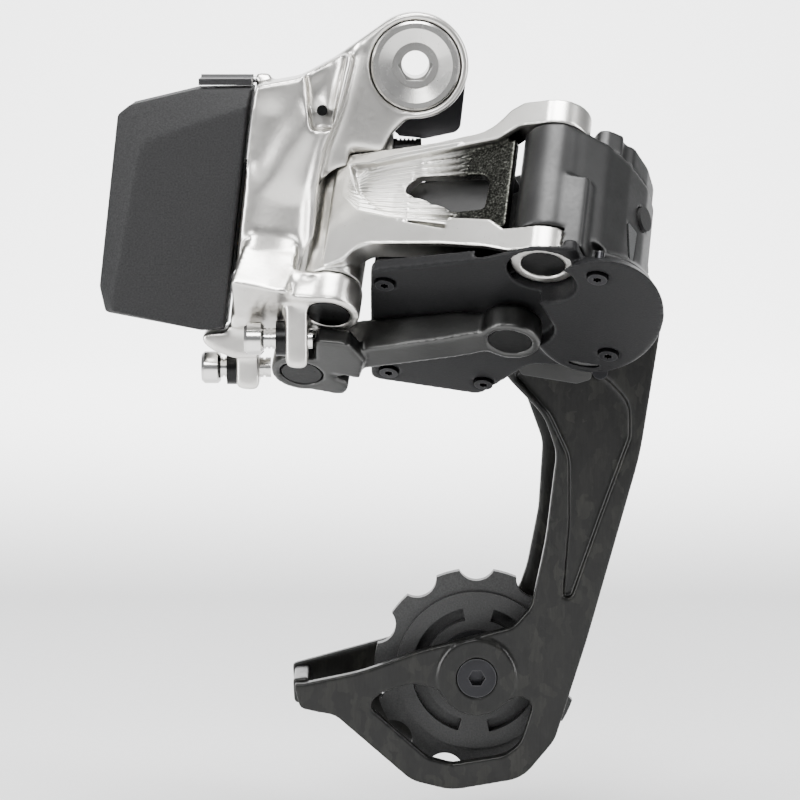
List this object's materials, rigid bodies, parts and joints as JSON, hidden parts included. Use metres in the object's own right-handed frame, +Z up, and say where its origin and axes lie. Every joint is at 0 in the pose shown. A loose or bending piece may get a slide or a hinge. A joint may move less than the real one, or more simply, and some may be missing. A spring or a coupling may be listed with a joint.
{
  "type": "rear derailleur",
  "caption": "Electronic rear bicycle derailleur with a rear battery, slanted parallelogram, geared motor knuckle and a sprung carbon pulley cage.",
  "frame": {"origin": "on the mounting bolt's axis, on the inboard face of the stop plate that seats on the frame's hanger", "axes": "+X forward on the bicycle, +Y inboard to the wheel along the mounting bolt, +Z up"},
  "size_m": [0.1111, 0.0692, 0.1582],
  "materials": {
    "battery_plastic": "fine grain",
    "bearing_plastic": "plain",
    "black_cover": "satin",
    "board_green": "plain",
    "brass": "plain",
    "bright_steel": "polished",
    "carbon": "gloss lacquer over carbon fibre",
    "cell_wrap": "wrap",
    "grey_alloy": "satin anodised",
    "lens": "smoked",
    "pin_black": "satin",
    "pulley_plastic": "satin",
    "rubber": "matte",
    "silver_alloy": "satin",
    "steel": "brushed"
  },
  "bodies": {
    "hanger_side": {"mounting_bolt": "silver_alloy", "hanger_stop_plate": "pin_black", "mounting_bolt_clip": "steel"},
    "rear_knuckle": {"b_knuckle": "silver_alloy", "b_knuckle_bush": "bearing_plastic", "locating_pin": "pin_black", "link_pin_outer_rear": "pin_black", "link_pin_inner_rear": "pin_black", "limit_screw_collars": "bright_steel", "contact_block": "black_cover", "contact_pins": "brass", "battery_seal": "rubber", "battery_latch_pin": "steel"},
    "low_screw": {"limit_screw_low": "bright_steel"},
    "high_screw": {"limit_screw_high": "bright_steel"},
    "adjust_screw": {"b_adjust_screw": "pin_black"},
    "battery": {"battery_case": "battery_plastic", "battery_lid": "battery_plastic", "battery_cell": "cell_wrap"},
    "latch": {"battery_latch": "battery_plastic"},
    "outer_arm": {"outer_link": "silver_alloy", "outer_link_bushes": "bearing_plastic", "link_pin_outer_front": "pin_black"},
    "inner_arm": {"inner_link": "grey_alloy", "inner_link_bush": "bearing_plastic", "link_pin_inner_front": "pin_black", "sector_gear": "steel"},
    "drive_knuckle": {"motor_housing": "grey_alloy", "motor_housing_bushes": "bearing_plastic", "motor_cap": "grey_alloy", "gearbox_cover": "black_cover", "cover_screws": "pin_black", "drive_motor": "steel", "idler_pin": "steel", "circuit_board": "board_green", "status_light": "lens", "cage_bush": "bearing_plastic", "cage_spring": "steel", "cage_seal": "rubber", "cage_stop_bracket": "grey_alloy"},
    "motor_shaft": {"motor_pinion": "steel"},
    "idler": {"idler_gear": "steel"},
    "button": {"function_button": "black_cover"},
    "cage": {"cage_axle": "steel", "cage_stop_pin": "steel", "outer_cage_plate": "carbon", "inner_cage_plate": "carbon", "cage_bridge": "carbon", "cage_bolts": "steel", "upper_pulley_sleeve": "steel", "lower_pulley_sleeve": "steel"},
    "upper_wheel": {"upper_pulley": "pulley_plastic", "upper_pulley_bearing": "steel", "upper_pulley_covers": "black_cover"},
    "lower_wheel": {"lower_pulley": "pulley_plastic", "lower_pulley_bearing": "steel", "lower_pulley_covers": "black_cover"}
  },
  "joints": [
    {"name": "b_pivot", "type": "hinge", "parent": "hanger_side", "child": "rear_knuckle", "pos_m": [0, 0, 0], "axis": [0, 1, 0], "range_deg": [0, 35]},
    {"name": "low_screw_travel", "type": "slide", "parent": "rear_knuckle", "child": "low_screw", "axis": [1, 0, 0], "range_m": [-0.003, 0]},
    {"name": "high_screw_travel", "type": "slide", "parent": "rear_knuckle", "child": "high_screw", "axis": [1, 0, 0], "range_m": [-0.003, 0]},
    {"name": "adjust_screw_travel", "type": "slide", "parent": "rear_knuckle", "child": "adjust_screw", "axis": [1, 0, 0], "range_m": [0, 0.002]},
    {"name": "battery_removal", "type": "slide", "parent": "rear_knuckle", "child": "battery", "axis": [-1, 0, 0], "range_m": [0, 0.03]},
    {"name": "latch_hinge", "type": "hinge", "parent": "rear_knuckle", "child": "latch", "pos_m": [-0.0367, -0.0062, -0.0029], "axis": [-1, 0, 0], "range_deg": [0, 70]},
    {"name": "outer_link_swing", "type": "hinge", "parent": "rear_knuckle", "child": "outer_arm", "pos_m": [-0.01436, -0.01378, -0.03146], "axis": [0.1219, 0.6111, 0.7821], "range_deg": [0, 64]},
    {"name": "inner_link_swing", "type": "hinge", "parent": "rear_knuckle", "child": "inner_arm", "pos_m": [-0.02176, -0.0127, -0.05672], "axis": [0.1219, 0.6111, 0.7821], "range_deg": [0, 64]},
    {"name": "drive_knuckle_swing", "type": "hinge", "parent": "outer_arm", "child": "drive_knuckle", "pos_m": [0.02543, -0.0286, -0.02608], "axis": [0.1219, 0.6111, 0.7821], "range_deg": [-64, 0]},
    {"name": "idler_spin", "type": "hinge", "parent": "drive_knuckle", "child": "idler", "pos_m": [0.00732, -0.01116, -0.04711], "axis": [0.1219, 0.6111, 0.7821], "continuous": true},
    {"name": "motor_spin", "type": "hinge", "parent": "drive_knuckle", "child": "motor_shaft", "pos_m": [-0.00178, -0.01554, -0.04227], "axis": [0.1219, 0.6111, 0.7821], "continuous": true},
    {"name": "button_press", "type": "slide", "parent": "drive_knuckle", "child": "button", "axis": [-0.8681, 0.4477, -0.2145], "range_m": [0, 0.0007], "stiffness_N_per_m": 600},
    {"name": "cage_pivot", "type": "hinge", "parent": "drive_knuckle", "child": "cage", "pos_m": [0.0343, 0, -0.0468], "axis": [0, -1, 0], "range_deg": [0, 85], "stiffness_Nm_per_rad": 0.35, "springref_deg": -45.84, "deforming": ["cage_spring"]},
    {"name": "upper_pulley_spin", "type": "hinge", "parent": "cage", "child": "upper_wheel", "pos_m": [0.0264, 0.012, -0.0431], "axis": [0, 1, 0], "continuous": true},
    {"name": "lower_pulley_spin", "type": "hinge", "parent": "cage", "child": "lower_wheel", "pos_m": [0.0126, 0.012, -0.1245], "axis": [0, 1, 0], "continuous": true}
  ],
  "couplings": [
    {"joint": "inner_link_swing", "follows": "outer_link_swing", "ratio": 1},
    {"joint": "drive_knuckle_swing", "follows": "outer_link_swing", "ratio": -1},
    {"joint": "idler_spin", "follows": "outer_link_swing", "ratio": -3},
    {"joint": "motor_spin", "follows": "outer_link_swing", "ratio": 7.5}
  ]
}
